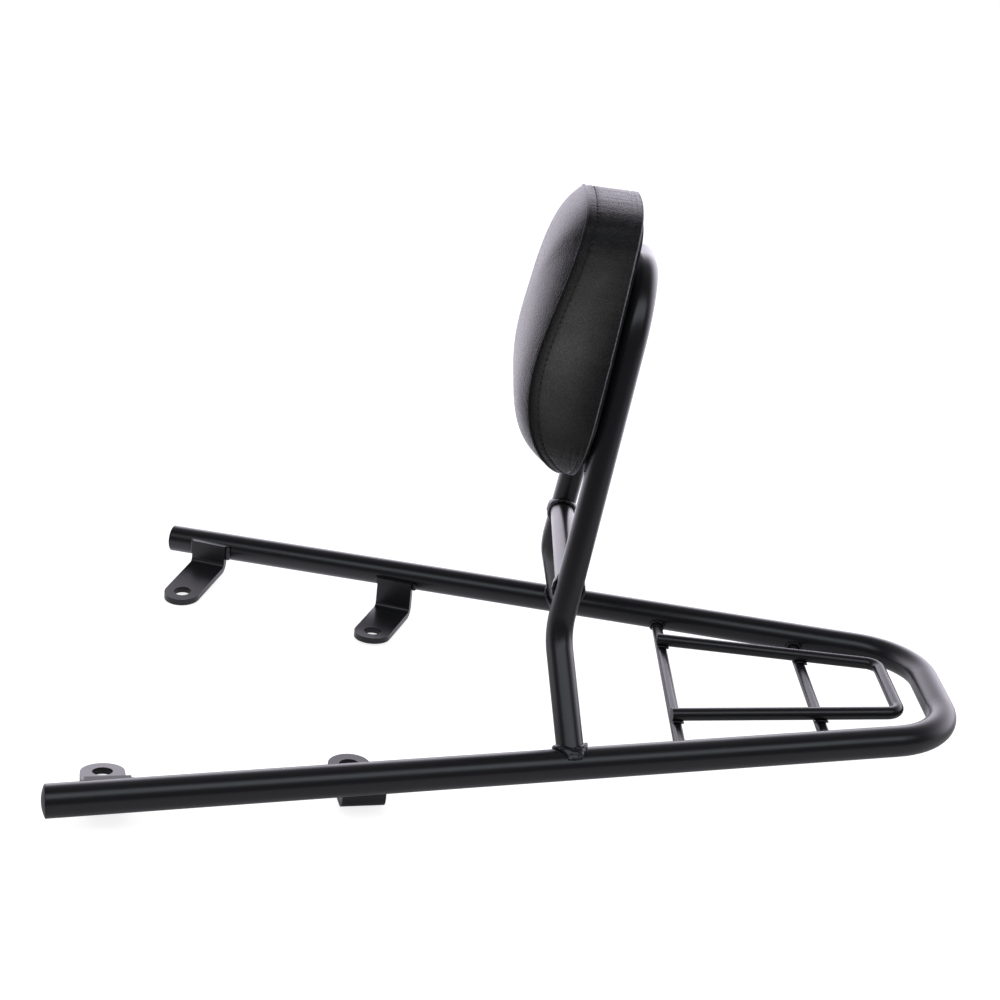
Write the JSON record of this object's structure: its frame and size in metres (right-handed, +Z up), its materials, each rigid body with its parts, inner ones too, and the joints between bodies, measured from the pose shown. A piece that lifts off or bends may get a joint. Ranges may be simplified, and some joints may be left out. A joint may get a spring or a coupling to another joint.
{
  "type": "scooter rear rack with backrest",
  "caption": "Tapered tubular rear rack for a scooter, with a rod luggage grid, a leaning tube hoop and a padded backrest, bolted on by folded tabs.",
  "frame": {"origin": "midway between the two front mounting holes, on the underside of their tabs", "axes": "+X to the rear of the scooter, +Y to its right side, +Z up, square to the mounting tabs"},
  "size_m": [0.6314, 0.4906, 0.4027],
  "materials": {
    "powder_coat": "satin black powder coat on steel",
    "plug_plastic": "moulded black polyethylene",
    "cover_plastic": "grained black ABS sheet",
    "vinyl": "grained black upholstery vinyl",
    "board": "birch plywood",
    "zinc": "zinc plated steel"
  },
  "bodies": {
    "root": {"main_rail": "powder_coat", "backrest_hoop": "powder_coat", "hoop_foot_welds": "powder_coat", "hoop_cross_tube": "powder_coat", "cross_tube_welds": "powder_coat", "rack_loop": "powder_coat", "rack_crossbar_front": "powder_coat", "rack_crossbar_rear": "powder_coat", "crossbar_welds": "powder_coat", "loop_welds": "powder_coat", "bracket_welds": "powder_coat", "mount_bracket_front_right": "powder_coat", "mount_bracket_front_left": "powder_coat", "mount_bracket_rear_right": "powder_coat", "mount_bracket_rear_left": "powder_coat", "pad_strap_lower": "powder_coat", "pad_strap_upper": "powder_coat", "strap_welds": "powder_coat", "rail_end_plug_right": "plug_plastic", "rail_end_plug_left": "plug_plastic", "pad_cushion": "vinyl", "pad_board": "board", "pad_back_cover": "cover_plastic", "pad_tee_nuts": "zinc", "pad_washers": "zinc", "pad_bolts": "zinc"}
  },
  "joints": []
}
